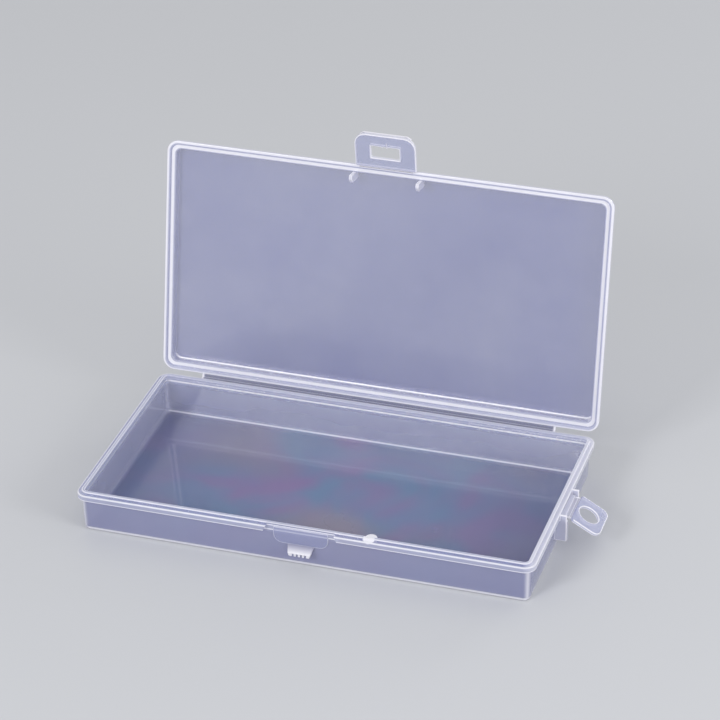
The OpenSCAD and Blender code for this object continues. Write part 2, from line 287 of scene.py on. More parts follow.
# %% [markdown]
# A few masks serve the finishes. Noise stays near its middle, so contrast spreads it. A spot is a place that
# is as white as an edge, where the mould left a scar. The floor of the box also shows strain colours: soft
# patches of pink, blue-green and straw, frozen in where the plastic flowed as it set. A thin-film shader
# could make such colours, but it would change them with the view, so here two noises blend three colours,
# strongest in the middle of the floor.

# %% Masks and strain colours
Look = namedtuple("Look", "colour solid")
Spot = namedtuple("Spot", "centre inner outer")
WHITE = (0.93, 0.92, 0.97, 1)
GLOW_COLOUR = (0.84, 0.84, 0.92, 1)
PINK, CYAN, STRAW = (0.40, 0.20, 0.46, 1), (0.12, 0.34, 0.52, 1), (0.46, 0.38, 0.36, 1)
CLOUD_SCALE, GRAIN_SCALE = 34, 900
WARP_SCALE, PATCH_SCALE = 26, 17
STRAIN_SHARE = 0.5


def contrast(noise, low, high):
    """Spreads what lies from low to high over 0 to 1."""
    return noise.finish.node("ShaderNodeMapRange", {"interpolation_type": "SMOOTHSTEP"}, {
        "Value": noise, "From Min": low, "From Max": high,
    })


def distance_mask(finish, place, centre, none_at, full_at, least=0.0):
    """Rises from least at one distance from a centre to 1 at another."""
    reach = finish.node(
        "ShaderNodeVectorMath", {"operation": "DISTANCE"}, {0: place, 1: centre}, output="Value"
    )
    return finish.node("ShaderNodeMapRange", {"interpolation_type": "SMOOTHSTEP"}, {
        "Value": reach, "From Min": none_at, "From Max": full_at, "To Min": least,
    })


def strain_colours(finish, place, white, colour, top):
    """Blends strain colours over a colour where the plastic is clear and lies under a height."""
    height = finish.node("ShaderNodeSeparateXYZ", sockets={0: place}, output="Z")
    below = finish.node("ShaderNodeMapRange", sockets={
        "Value": height, "From Min": top * 1.3, "From Max": top, "To Max": STRAIN_SHARE,
    })
    warp = finish.node("ShaderNodeTexNoise", sockets={
        "Vector": place, "Scale": WARP_SCALE, "Detail": 2.5, "Distortion": 1.4,
    })
    patch = finish.node("ShaderNodeTexNoise", sockets={"Vector": place, "Scale": PATCH_SCALE, "Detail": 1})
    strain = finish.mix_colours(contrast(warp, 0.34, 0.66), CYAN, PINK)
    strain = finish.mix_colours(contrast(patch, 0.48, 0.72), strain, STRAW)
    middle = distance_mask(finish, place, (0, 0, FLOOR_T), HALF_L, 0.2 * HALF_L, least=0.25)
    return finish.mix_colours(below * (1 - white) * middle, colour, strain)


print("strain colours take up at most", STRAIN_SHARE, "of the floor's own colour")

# %% [markdown]
# Polypropylene is clear where it is thin and looks white where the eye meets much of it: at rounded edges,
# at ribs and where it was strained. Real refraction could show that, but it is slow and noisy in walls of
# one millimetre. Here each mesh carries the whiteness at its own points, as an attribute named white. On
# some sides and edges this whiteness also holds painted light, painted shade and painted highlights. The
# finish blends a thin look and a thick look by it. A see-through shader carries the haze, and a gloss that
# grows at grazing angles lies over it at full strength, as it does on real plastic however clear it is.
# A second attribute, joint, marks the faces where two parts of the moulding meet inside the plastic. They
# don't exist on the real box, so the finish leaves them out of sight.

# %% The plastic
MIRROR = 0.04
GLOW_SHARE, GLOW_GAIN = 0.10, 0.15
POLISH_SHARE, POLISH_GAIN = 0.7, 0.6


def plastic(name, thin, thick, gloss, mottle=0.3, strained_under=None, spots=()):
    """thin and thick are Looks, and solid is how much one face of the wall hides. gloss is its roughness.
    Strain colours show under the height strained_under, and spots are marks that are white as an edge."""
    finish = Finish(name)
    place = finish.node("ShaderNodeTexCoord", output="Object")
    # white: thick or strained plastic, and in places painted light, painted shade and painted highlights
    white = finish.node("ShaderNodeAttribute", {"attribute_name": "white"}, output="Fac")
    joint = finish.node("ShaderNodeAttribute", {"attribute_name": "joint"}, output="Fac")
    clouds = finish.node("ShaderNodeTexNoise", sockets={"Vector": place, "Scale": CLOUD_SCALE, "Detail": 3})
    grain = finish.node("ShaderNodeTexNoise", sockets={"Vector": place, "Scale": GRAIN_SCALE, "Detail": 2})
    for spot in spots:
        mark = distance_mask(finish, place, spot.centre, spot.outer, spot.inner)
        white = white.maths("MAXIMUM", white, mark)
    colour = finish.mix_colours(white, thin.colour, thick.colour)
    if strained_under:
        colour = strain_colours(finish, place, white, colour, strained_under)
    solid = (thin.solid + white * (thick.solid - thin.solid)) * (1 - mottle / 2 + mottle * clouds)
    waves = finish.node("ShaderNodeBump", sockets={"Strength": 0.05, "Distance": 0.1 * MM, "Height": clouds})
    skin = finish.node("ShaderNodeBump", sockets={
        "Strength": 0.02, "Distance": 0.01 * MM, "Height": grain, "Normal": waves,
    })
    polish = gloss * (POLISH_SHARE + POLISH_GAIN * clouds)
    haze = finish.node("ShaderNodeBsdfPrincipled", sockets={
        "Base Color": colour, "Roughness": polish, "Specular IOR Level": 0.0, "Normal": skin,
    })
    glow = finish.node("ShaderNodeBsdfTranslucent", sockets={"Color": GLOW_COLOUR})
    milk = finish.mix_shaders(GLOW_SHARE + GLOW_GAIN * white, haze, glow)
    clear = finish.node("ShaderNodeBsdfTransparent", sockets={"Color": (1, 1, 1, 1)})
    body = finish.mix_shaders(solid, clear, milk)
    shine = finish.node("ShaderNodeBsdfGlossy", sockets={
        "Color": (1, 1, 1, 1), "Roughness": polish, "Normal": skin,
    })
    facing = finish.node("ShaderNodeLayerWeight", sockets={"Blend": 0.5}, output="Facing")
    surface = finish.mix_shaders(MIRROR + (1 - MIRROR) * facing ** 5, body, shine)
    shown = finish.mix_shaders(joint, surface, clear)
    finish.node("ShaderNodeOutputMaterial", sockets={"Surface": shown})
    print("finish:", name, "with", len(finish.tree.nodes), "nodes")
    return finish.material


print("seen head on, the plastic mirrors", MIRROR, "of what lies before it")

# %% [markdown]
# The whole box is one plastic, but it doesn't look the same all over. The lid's panel is the clearest part,
# the tray is the glossiest, and what was bent or pulled is hazy. One material could hold all of it behind
# more masks, but a short list of finishes, each a call with its own colours, is easier to adjust while
# looking from the photograph to the render.

# %% The finishes of the box
gate_low, gate_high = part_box("gate_nub")
gate_x = (gate_low.x + gate_high.x) / 2
gate_scar = Spot((gate_x - 0.7 * MM, gate_low.y - 1.2 * MM, LIP_TOP), inner=1.9 * MM, outer=2.8 * MM)
milky = plastic("milky_wall", Look((0.33, 0.36, 0.60, 1), 0.38), Look(WHITE, 0.92), gloss=0.16)
milky_tray = plastic(
    "milky_tray", Look((0.18, 0.20, 0.40, 1), 0.48), Look(WHITE, 0.94), gloss=0.05, strained_under=FLOOR_T
)
milky_rim = plastic(
    "milky_rim", Look((0.22, 0.26, 0.52, 1), 0.34), Look(WHITE, 0.94), gloss=0.16, spots=[gate_scar]
)
clear_panel = plastic(
    "clear_panel", Look((0.08, 0.10, 0.38, 1), 0.31), Look(WHITE, 0.92), gloss=0.14, mottle=0.4
)
strained = plastic("strained_white", Look((0.27, 0.27, 0.42, 1), 0.62), Look(WHITE, 0.95), gloss=0.45)
pulled = plastic("finger_white", Look((0.30, 0.32, 0.54, 1), 0.46), Look(WHITE, 0.95), gloss=0.3)
film = plastic("crease_film", Look((0.08, 0.09, 0.22, 1), 0.5), Look(WHITE, 0.92), gloss=0.30)
brown_film = plastic("crease_film_worn", Look((0.30, 0.25, 0.24, 1), 0.40), Look(WHITE, 0.92), gloss=0.2)
milky_film = plastic("crease_film_milky", Look((0.60, 0.60, 0.72, 1), 0.50), Look(WHITE, 0.92), gloss=0.3)

# %% [markdown]
# Moulded plastic has no sharp edges. The pieces here are drawn as outlines with plain corners, and one
# function rounds each corner and notes how white the plastic is there. A point just before and just after
# each corner keeps the white line narrow, because an attribute fades evenly from one point to the next. A
# Bevel modifier could round the corners too, but it couldn't tell the edges from the walls.

# %% Rounded outlines
Corner = namedtuple("Corner", "a b round edge flat hidden", defaults=(0.0, 1.0, 0.0, False))
ARC_STEPS = 4
GLOW = 0.06 * MM
FADE = 0.28 * MM
WIDE = 1.0 * MM
WIDE_END_SHARE = 0.8
ROOM_SHARE = 0.48


def support_points(here, towards, reach, ends, flat):
    """The points that end the white line on one side of a corner, outermost first."""
    room = towards.length * ROOM_SHARE
    if room <= reach + GLOW + FADE / 4:
        return []
    far = here + towards.normalized() * min(reach + GLOW + FADE, room)
    near = here + towards.normalized() * (reach + GLOW)
    return [(far.x, far.y, flat), (near.x, near.y, ends)]


def round_corner(before, corner, after):
    """Points (a, b, white) of one corner. A wide round is whitest in its middle."""
    here = Vector((corner.a, corner.b))
    into, out = Vector((before.a, before.b)) - here, Vector((after.a, after.b)) - here
    half = into.angle(out) / 2
    reach = corner.round / math.tan(half)
    centre = here + (into.normalized() + out.normalized()).normalized() * corner.round / math.sin(half)
    first = here + into.normalized() * reach - centre
    turn = first.angle_signed(here + out.normalized() * reach - centre)
    ends = corner.edge * (WIDE_END_SHARE if corner.round > WIDE else 1)
    points = support_points(here, into, reach, ends, before.flat)
    for step in range(ARC_STEPS + 1):
        point = centre + Matrix.Rotation(-turn * step / ARC_STEPS, 2) @ first
        points.append((point.x, point.y, corner.edge if 0 < step < ARC_STEPS else ends))
    return points + support_points(here, out, reach, ends, corner.flat)[::-1]


def soften(corners, closed=True):
    """All points of an outline, each (a, b, white, hidden), where hidden speaks of the stretch after it."""
    points = []
    for i, corner in enumerate(corners):
        end = not closed and i in (0, len(corners) - 1)
        if corner.round == 0 or end:
            points.append((corner.a, corner.b, corner.edge, corner.hidden))
            continue
        made = round_corner(corners[i - 1], corner, corners[(i + 1) % len(corners)])
        points += [(*p, False) for p in made[:-1]] + [(*made[-1], corner.hidden)]
    return points


trial = soften([Corner(0, 0, EDGE_ROUND), Corner(4 * MM, 0, EDGE_ROUND), Corner(0, 4 * MM, EDGE_ROUND)])
print("a triangle with rounded corners has", len(trial), "points")

# %% [markdown]
# Every piece becomes a mesh in the same few steps, so they are one function: merge points that fall
# together, turn all faces outward, shade smooth except across true corners, and hand the object to the body
# that it moves with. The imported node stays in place, hidden, for the physics. The function also counts open
# edges. A closed solid has none, so a number other than 0 points to a fault in the outline.

# %% From points to pieces
SHARP = math.radians(35)
MERGE = 0.002 * MM


class Shape:
    """Points and faces that are collected before they become a piece."""

    def __init__(self, place=None):
        self.bm = bmesh.new()
        self.white = self.bm.verts.layers.float.new("white")
        self.joint = self.bm.faces.layers.float.new("joint")
        self.place = place or Matrix.Identity(4)

    def point(self, at, white):
        vert = self.bm.verts.new(self.place @ Vector(at))
        vert[self.white] = white
        return vert

    def face(self, points, hidden=False):
        made = self.bm.faces.new(points)
        made[self.joint] = float(hidden)
        return made

    def bands(self, rings, hidden=None, closed=True):
        """Faces between each ring of points and the next. hidden says which stretches are joints."""
        for ring, after in zip(rings, rings[1:] + rings[:1] if closed else rings[1:]):
            count = len(ring)
            for i in range(count if hidden is None or len(hidden) == count else count - 1):
                j = (i + 1) % count
                self.face((ring[i], ring[j], after[j], after[i]), hidden[i] if hidden else False)

    def piece(self, name, material, body, *nodes):
        bmesh.ops.remove_doubles(self.bm, verts=self.bm.verts, dist=MERGE)
        bmesh.ops.recalc_face_normals(self.bm, faces=self.bm.faces)
        open_edges = sum(1 for edge in self.bm.edges if not edge.is_manifold)
        for face in self.bm.faces:
            face.smooth = True
        mesh = bpy.data.meshes.new(name)
        self.bm.to_mesh(mesh)
        self.bm.free()
        mesh.set_sharp_from_angle(angle=SHARP)
        mesh.materials.append(material)
        made = bpy.data.objects.new(name, mesh)
        bpy.context.scene.collection.objects.link(made)
        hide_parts(*nodes)
        if body:
            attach(made, body)
        print(f"{name}: {len(mesh.polygons)} faces, {open_edges} open edges")
        return made


print("faces that meet at more than", round(math.degrees(SHARP)), "degrees keep a sharp edge")

# %% [markdown]
# The walls and flanges run round the box with one section, like a picture frame. So a section is drawn once,
# as depth in from the outer face of the flange and height above the table, and is swept past stations: some
# round each corner, and two on each side of the front gap, where the flange is cut back for the latch. A
# curve with a bevel profile could sweep it too, but it would give no say over how white each side is.

# %% Stations round the box
CORNER_STEPS = 9
INNER_ROUND_SHARE = 0.2
GAP_TOP, GAP_FOOT = 13.0 * MM, 14.5 * MM


def corner_station(side_x, side_y, angle, full_round):
    """full_round is the depth down to which the corners stay parallel. Further in they stay rounder."""
    out = Vector((math.cos(angle), math.sin(angle), 0))

    def place(depth, height):
        radius = CORNER_R - min(depth, full_round) - INNER_ROUND_SHARE * max(0.0, depth - full_round)
        side = Vector((side_x * (HALF_L - depth - radius), side_y * (HALF_W - depth - radius), height))
        return side + out * radius
    return place


def gap_station(side, least_depth):
    def place(depth, height):
        drop = max(0.0, SHOULDER - height) / (SHOULDER - TRAY_TOP)
        x = side * (GAP_TOP + (GAP_FOOT - GAP_TOP) * drop)
        return Vector((x, max(depth, least_depth) - HALF_W, height))
    return place


def stations(with_gap=False, full_round=CORNER_R):
    """Stations in order, anticlockwise from the rear right corner."""
    found = []
    for quarter, (side_x, side_y) in enumerate(((1, 1), (-1, 1), (-1, -1), (1, -1))):
        for step in range(CORNER_STEPS + 1):
            angle = math.pi / 2 * (quarter + step / CORNER_STEPS)
            found.append(corner_station(side_x, side_y, angle, full_round))
        if with_gap and quarter == 2:
            gap = ((-1, 0), (-1, FLANGE_W), (1, FLANGE_W), (1, 0))
            found += [gap_station(side, least_depth) for side, least_depth in gap]
    return found


print("stations:", len(stations()), "round the lid and", len(stations(True)), "round the base rim")

# %% [markdown]
# A sweep draws the section at every station and joins each ring of points to the next. The section could
# stay the same all the way, but the real plastic looks whiter on some sides than on others, as the light
# falls on them. So a section is a function of the place, through which it carries painted light and shade,
# and past tells it how far round a corner that place is.

# %% Sweeping a section
def sweep(shape, section_at, path, filled=False):
    """Runs a section round the box. section_at gives it for a place on the outline. With filled, its two
    ends are closed by plates."""
    rings = []
    for place in path:
        section = section_at(place(0, 0))
        rings.append([shape.point(place(a, b), white) for a, b, white, _ in section])
    hidden = [point[3] for point in section]
    shape.bands(rings, hidden[:-1] if filled else hidden)
    if filled:
        shape.face([ring[0] for ring in rings])
        shape.face([ring[-1] for ring in rings])


def past(value, start):
    """How far a value is past the start of a corner: 0 before it, 1 where the corner ends."""
    return max(0.0, min(1.0, (value - start) / CORNER_R))


print("half way into a corner, past gives", round(past(HALF_L - CORNER_R / 2, HALF_L - CORNER_R), 3))

# %% [markdown]
# The tray is the floor and the four walls. The walls lean in by half a millimetre so that the box leaves
# its mould, and the foot is rounded, which is the bright line along the bottom of the box. The fillet
# inside shows as a second, fainter line round the floor, whiter at the rear as a painted highlight and
# fainter at the left. The foot is painted darker at the left and the rear, painted shade where it is seen
# only through the floor. The walls are whiter at the rounded corners, partly thick plastic seen edge on
# and partly a painted highlight.

# %% The tray
foot = FLANGE_W + WALL_LEAN


def corner_share(at):
    """1 in the middle of each rounded corner and 0 along the straight sides."""
    return min(1.0, 2 * past(abs(at.x), HALF_L - CORNER_R) * past(abs(at.y), HALF_W - CORNER_R))


def tray_section(at):
    # haze is whiter at the rounded corners: partly thick plastic seen edge on, partly a painted highlight
    haze = min(1.0, 0.12 - 0.04 * at.y / HALF_W + 0.6 * corner_share(at) ** 3)
    rear = past(at.y, HALF_W - CORNER_R)
    left = past(-at.x, HALF_L - CORNER_R)
    # The foot's edge is painted darker at the rear and the left, painted shade. The inner fillet is painted
    # whiter at the rear, a painted highlight, and fainter at the left.
    return soften([
        Corner(CORNER_R, 0, edge=0.0, flat=0.05),
        Corner(foot, 0, FOOT_ROUND, edge=1.0 - 0.6 * max(rear, 1.3 * left), flat=haze),
        Corner(FLANGE_W, TRAY_TOP, edge=haze, hidden=True),
        Corner(RIM_IN, TRAY_TOP, edge=0.1),
        Corner(foot + WALL_T, FLOOR_T, FLOOR_ROUND, edge=0.3 + 0.4 * rear - 0.3 * left, flat=0.0),
        Corner(CORNER_R, FLOOR_T, edge=0.0),
    ], closed=False)


tray = Shape()
sweep(tray, tray_section, stations(), filled=True)
tray.piece("tray_shell", milky_tray, "base", "base_tray")

# %% [markdown]
# The rim is a flange with a step in it. Its outer edge and its raised inner lip catch the light, and the
# shoulder between them is greyer. At the front the flange is cut back to the wall over 26 millimetres, so
# that the latch flap can lie flat against the box. A thin white line runs inside, a little under the lip.
# It could be a groove, but it is only colour on the real box, so it is only whiteness here. Round the
# rim the whiteness is also painted by side: lighter on the right as painted light, and at the rear lighter
# on the shoulder and darker along the lip, as painted light and shade.

# %% The rim
LINE_TOP, LINE_LOW = SHOULDER - 1.2 * MM, SHOULDER - 1.75 * MM


def rim_section(at):
    # right and rear paint light and shade into the whiteness: the right side is painted lighter, and at the
    # rear the shoulder and the lip's top are painted lighter and the lip's edges darker.
    right = past(at.x, HALF_L - CORNER_R)
    rear = past(at.y, HALF_W - CORNER_R)
    inner = max(past(-at.x, HALF_L - CORNER_R), rear)
    line = inner * (0.6 + 0.4 * rear)
    return soften([
        Corner(FLANGE_W, TRAY_TOP, edge=0.25, flat=0.25),
        Corner(0, SHOULDER - FLANGE_FACE, EDGE_ROUND, edge=0.95, flat=0.4 + 0.3 * right),
        Corner(0, SHOULDER, EDGE_ROUND, edge=0.95, flat=0.25 + 0.5 * right + 0.3 * rear),
        Corner(LIP_IN, SHOULDER, STEP_ROUND, edge=0.1 + 0.6 * right + 0.4 * rear, flat=0.3 + 0.4 * right),
        Corner(LIP_IN, LIP_TOP, EDGE_ROUND, edge=0.9 - 0.3 * rear, flat=0.4 + 0.4 * right + 0.2 * rear),
        Corner(RIM_IN, LIP_TOP, LIP_ROUND, edge=0.8 - 0.3 * rear, flat=0.15),
        Corner(RIM_IN, LINE_TOP + FADE / 2, edge=0.15),
        Corner(RIM_IN, LINE_TOP, edge=max(0.15, line)),
        Corner(RIM_IN, LINE_LOW, edge=max(0.15, line)),
        Corner(RIM_IN, LINE_LOW - FADE / 2, edge=0.1),
        Corner(RIM_IN, TRAY_TOP, edge=0.1, hidden=True),
    ])


rim = Shape()
sweep(rim, rim_section, stations(with_gap=True))
rim.piece("rim_shell", milky_rim, "base", "base_rim")

# %% [markdown]
# The lid is a clear panel with low walls and a stepped flange. Both are drawn as they lie when shut, in the
# same depths and heights as the base that they close, and are then swung open about the fold line. That
# keeps the step in the lid matched to the step of the base. The ledge of the lid carries a broad white band,
# a painted highlight, so its section has points of its own where the band starts and ends. The fillet round
# the panel is painted whiter along the hinge side, a second painted highlight.

# %% The lid
# The ledge carries a painted highlight: a broad white band, whitest between these two depths.
PAINTED_HIGHLIGHT_IN, PAINTED_HIGHLIGHT_OUT = 2.75 * MM, 1.8 * MM
BAND_FADE = 0.2 * MM
SEAT_LINE = 0.75 * MM
LID_PARALLEL = LID_BAND + 0.3 * MM


def panel_section(at):
    # The fillet round the panel is painted whiter along the hinge side, a painted highlight.
    rear = past(at.y, HALF_W - CORNER_R)
    return soften([
        Corner(CORNER_R, PANEL_LOW, edge=0.0, flat=0.0),
        Corner(LID_RIM_W, PANEL_LOW, LID_FILLET, edge=0.1 + 0.9 * rear, flat=0.03),
        Corner(LID_RIM_W, LID_RIM_TOP, edge=0.1, hidden=True),
        Corner(FLANGE_W, LID_RIM_TOP, edge=0.15, flat=0.1),
        Corner(FLANGE_W, LID_TOP, LID_ROUND, edge=0.3, flat=0.0),
        Corner(CORNER_R, LID_TOP, edge=0.0),
    ], closed=False)


def lid_rim_section(at):
    rear = past(at.y, HALF_W - CORNER_R)
    return soften([
        Corner(0, LID_SEAT, EDGE_ROUND, edge=1.0, flat=0.5),
        Corner(0, LID_FACE, EDGE_ROUND, edge=0.9, flat=0.35),
        Corner(FLANGE_W, LID_RIM_TOP, edge=0.2, hidden=True),
        Corner(LID_RIM_W, LID_RIM_TOP, edge=0.2, flat=0.1),
        Corner(LID_RIM_W, LID_LEDGE, EDGE_ROUND, edge=0.25, flat=0.6),
        Corner(PAINTED_HIGHLIGHT_IN, LID_LEDGE, edge=1.0),
        Corner(PAINTED_HIGHLIGHT_OUT, LID_LEDGE, edge=1.0),
        Corner(LID_BAND + BAND_FADE, LID_LEDGE, edge=0.1),
        Corner(LID_BAND, LID_LEDGE, STEP_ROUND, edge=0.05, flat=0.05),
        Corner(LID_BAND, LID_SEAT, LID_STEP_ROUND, edge=0.25, flat=0.2),
        Corner(SEAT_LINE * (1 - 0.6 * rear), LID_SEAT, edge=0.95),
    ])


panel = Shape(open_lid)
sweep(panel, panel_section, stations(full_round=LID_PARALLEL), filled=True)
panel.piece("lid_shell", clear_panel, "lid", "lid_panel")
lid_rim = Shape(open_lid)
sweep(lid_rim, lid_rim_section, stations(full_round=LID_PARALLEL))
lid_rim.piece("lid_flange", milky, "lid", "lid_rim")

# %% [markdown]
# The small parts are plates: an outline, perhaps with a hole in it, and a thickness. An outline here is a
# function, which gives its points for any depth into the plastic. Its outer corners get sharper on the way
# in, so a rounded edge never folds over itself. An outline keeps the plastic on its left, so the rim of a
# plate runs one way round and the rim of a hole the other way.

# %% Outlines of plates
LEAST_ROUND = 0.03 * MM


def outline(*corners):
    """The outline through (a, b, round) of each corner, as a function of depth."""
    points = [Vector(corner[:2]) for corner in corners]

    def at_depth(depth):
        found = []
        for i, (point, corner) in enumerate(zip(points, corners)):
            arriving = (point - points[i - 1]).normalized()
            leaving = (points[(i + 1) % len(points)] - point).normalized()
            normals = Vector((-arriving.y, arriving.x)), Vector((-leaving.y, leaving.x))
            here = point + (normals[0] + normals[1]) * depth / (1 + normals[0].dot(normals[1]))
            if corner[2] == 0:
                found.append(here)
                continue
            bend = arriving.angle_signed(leaving)
            radius = corner[2] if bend > 0 else max(LEAST_ROUND, corner[2] - depth)
            reach = radius * math.tan(abs(bend) / 2)
            first, inward = here - arriving * reach, normals[0] * math.copysign(radius, -bend)
            for step in range(ARC_STEPS + 1):
                spoke = Matrix.Rotation(-bend * step / ARC_STEPS, 2) @ -inward
                found.append(first + inward + spoke)
        return found
    return at_depth


def circle(a, b, radius, count=40):
    """A round hole, which runs clockwise."""
    turns = [-2 * math.pi * i / count for i in range(count)]
    spokes = [Vector((math.cos(turn), math.sin(turn))) for turn in turns]
    return lambda depth: [Vector((a, b)) + (radius + depth) * spoke for spoke in spokes]


trial = outline((0, 0, 0), (8 * MM, 0, MM), (8 * MM, 4 * MM, MM), (0, 4 * MM, 0))
print("a plate outline has", len(trial(0)), "points and, 0.4 mm further in,", len(trial(0.4 * MM)))

# %% [markdown]
# On the real box the edges of a plate are rounded by the mould and are the whitest part of it. So a plate is
# made in levels, each an outline at its own depth and height: round the lower edge, up the side, round the
# upper edge, and a little way in over the face, where the whiteness has faded. Extruding a filled outline
# and bevelling it would be quicker, but a bevel easily fails at notches as small as those in the latch flap.

# %% Plates
def plate(shape, loops, low, high, edge=0.95, flat=0.1, side=0.6, round=0.2 * MM, seated=False, root=None):
    """A plate from low to high. edge, flat and side say how white its outlines, faces and sides are. With
    seated, its low face sits on another part, unrounded and unseen. Where the first coordinate is under
    root, the plate grows out of another part and has no white outline."""
    turns = [math.pi / 2 * step / ARC_STEPS for step in range(ARC_STEPS + 1)]
    climb = [(round * (1 - math.cos(turn)), high - round * (1 - math.sin(turn)), edge) for turn in turns]
    climb.append((round + FADE, high, flat))
    fall = [(0, low, edge)]
    if not seated:
        fall = [(depth, low + high - height, white) for depth, height, white in climb[::-1]]
    levels = fall + [(0, (low + high) / 2, side)] + climb
    rims = []
    for loop in loops:
        rings = []
        for depth, height, white in levels:
            points = loop(depth)
            whites = [min(white, flat) if root is not None and point.x < root else white for point in points]
            rings.append([shape.point((*point, height), w) for point, w in zip(points, whites)])
        shape.bands(rings, closed=False)
        rims.append((rings[0], rings[-1]))
    for face_rings, hidden in zip(zip(*rims), (seated, False)):
        edges = [shape.bm.edges.get((ring[i - 1], ring[i])) for ring in face_rings for i in range(len(ring))]
        made = bmesh.ops.triangle_fill(shape.bm, edges=edges, use_beauty=True)
        for item in made["geom"]:
            if isinstance(item, bmesh.types.BMFace):
                item[shape.joint] = float(hidden)


trial_shape = Shape()
plate(trial_shape, [trial], 0, 2 * MM)
print("a plate of that outline has", len(trial_shape.bm.faces), "faces")
trial_shape.bm.free()

# %% [markdown]
# The latch flap hangs on the front of the lid. It is drawn flat from its fold line, as x across and y out to
# the tip, and one matrix puts it where it rests: eighteen degrees past the lid's own swing. Two nicks of
# flash stand in the far edge of the slot, and a fine sliver runs on from the longer one over the plate.

# %% The latch flap
latch_axis = Vector(joints["latch_fold"]["pos_m"])
FLAP_REST = -math.radians(joints["latch_fold"]["range_deg"][0])
latch_turn = Matrix.Rotation(FLAP_REST - LID_OPEN, 4, "X")
latch_place = Matrix.Translation(latch_axis) @ latch_turn @ Matrix.Diagonal((1, -1, 1, 1))
FLAP_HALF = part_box("latch_flap")[1].x
FLAP_ROOT, FLAP_TIP = 0.6 * MM, 15.2 * MM
FLAP_LOW, FLAP_HIGH = -0.7 * MM, 0.6 * MM
FLAP_ROOT_R, FLAP_R = 0.6 * MM, 4.5 * MM
SLOT_HALF, SLOT_NEAR, SLOT_FAR, SLOT_R = 5.6 * MM, 5.0 * MM, 10.4 * MM, 0.4 * MM
NICK_R = 0.1 * MM


def nick(left, peak, right, depth):
    """The three corners of a nick of flash in the far edge of the slot."""
    return (left, SLOT_FAR, NICK_R), (peak, SLOT_FAR - depth, NICK_R), (right, SLOT_FAR, NICK_R)


flap = Shape(latch_place)
flap_outline = outline(
    (-FLAP_HALF, FLAP_ROOT, FLAP_ROOT_R), (FLAP_HALF, FLAP_ROOT, FLAP_ROOT_R),
    (FLAP_HALF, FLAP_TIP, FLAP_R), (-FLAP_HALF, FLAP_TIP, FLAP_R),
)
slot_outline = outline(
    (-SLOT_HALF, SLOT_NEAR, SLOT_R), (-SLOT_HALF, SLOT_FAR, SLOT_R),
    *nick(-1.4 * MM, -1.0 * MM, -0.6 * MM, depth=0.6 * MM),
    *nick(0.35 * MM, 0.75 * MM, 1.1 * MM, depth=0.9 * MM),
    (SLOT_HALF, SLOT_FAR, SLOT_R), (SLOT_HALF, SLOT_NEAR, SLOT_R),
)
plate(flap, [flap_outline, slot_outline], FLAP_LOW, FLAP_HIGH, edge=1.0, flat=0.0, side=0.6)
SLIVER_X, SLIVER_W, SLIVER_L, SLIVER_H = 0.58 * MM, 0.35 * MM, 1.8 * MM, 0.1 * MM
sliver_outline = outline(
    (SLIVER_X, SLOT_FAR - SLIVER_H, 0), (SLIVER_X + SLIVER_W, SLOT_FAR - SLIVER_H, 0),
    (SLIVER_X + SLIVER_W, SLOT_FAR + SLIVER_L, 0), (SLIVER_X, SLOT_FAR + SLIVER_L, 0),
)
plate(flap, [sliver_outline], FLAP_LOW - SLIVER_H, FLAP_LOW + SLIVER_H, edge=1.0, flat=1.0, side=1.0,
      round=SLIVER_H / 2)
flap.piece("latch_plate", milky, "latch", "latch_flap")

# %% [markdown]
# The finger lip is a low bar along the tip of the flap. Its ends follow the flap's own round corners, so its
# half length at the near edge is worked out from that circle. It could be one mesh with the flap, but it is
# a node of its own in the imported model, so it is a piece of its own here, seated on the flap's face. It is
# whiter than the plate, since it is pulled at each opening.

# %% The finger lip
GRIP_LOW, GRIP_TOP = 13.9 * MM, 1.5 * MM
GRIP_ROOT_R, GRIP_R = 0.2 * MM, 1.2 * MM
grip_half = FLAP_HALF - FLAP_R + math.sqrt(FLAP_R ** 2 - (GRIP_LOW - FLAP_TIP + FLAP_R) ** 2)
tip_half = FLAP_HALF - FLAP_R + GRIP_R
grip = Shape(latch_place)
grip_outline = outline(
    (-grip_half, GRIP_LOW, GRIP_ROOT_R), (grip_half, GRIP_LOW, GRIP_ROOT_R),
    (tip_half, FLAP_TIP, GRIP_R), (-tip_half, FLAP_TIP, GRIP_R),
)
plate(grip, [grip_outline], FLAP_HIGH, GRIP_TOP, edge=1.0, flat=0.2, side=1.0, seated=True)
grip.piece("finger_lip", pulled, "latch", "latch_lip")

# %% [markdown]
# The hanging tab at the right end is a flap with a round hole, by which the box hangs on a peg. It droops
# on its own film. It is a plate like the latch flap, with a circle as its second loop. A Boolean could cut
# the hole, but then the white line round it would have to be painted afterwards.

# %% The hanging flap
tab_axis = Vector(joints["hanger_fold"]["pos_m"])
TAB_DROOP = -math.radians(joints["hanger_fold"]["range_deg"][0])
TAB_FILM_T = 0.4 * MM
TAB_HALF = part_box("hang_flap")[1].y
TAB_ROOT, TAB_TIP, TAB_T = 0.5 * MM, 12.6 * MM, 1.2 * MM
TAB_ROOT_R, TAB_TIP_R = 1.2 * MM, 3.0 * MM
HOLE_AT, HOLE_R = 5.9 * MM, 4.05 * MM
ROOT_REACH = 0.8 * MM
tab = Shape(Matrix.Translation(tab_axis) @ Matrix.Rotation(TAB_DROOP, 4, "Y"))
tab_outline = outline(
    (TAB_ROOT, -TAB_HALF, TAB_ROOT_R), (TAB_TIP, -TAB_HALF, TAB_TIP_R),
    (TAB_TIP, TAB_HALF, TAB_TIP_R), (TAB_ROOT, TAB_HALF, TAB_ROOT_R),
)
tab_low = -TAB_FILM_T / 2
plate(tab, [tab_outline, circle(HOLE_AT, 0, HOLE_R)], tab_low, tab_low + TAB_T, edge=1.0, flat=0.06, side=0.3,
      root=TAB_ROOT + ROOT_REACH)
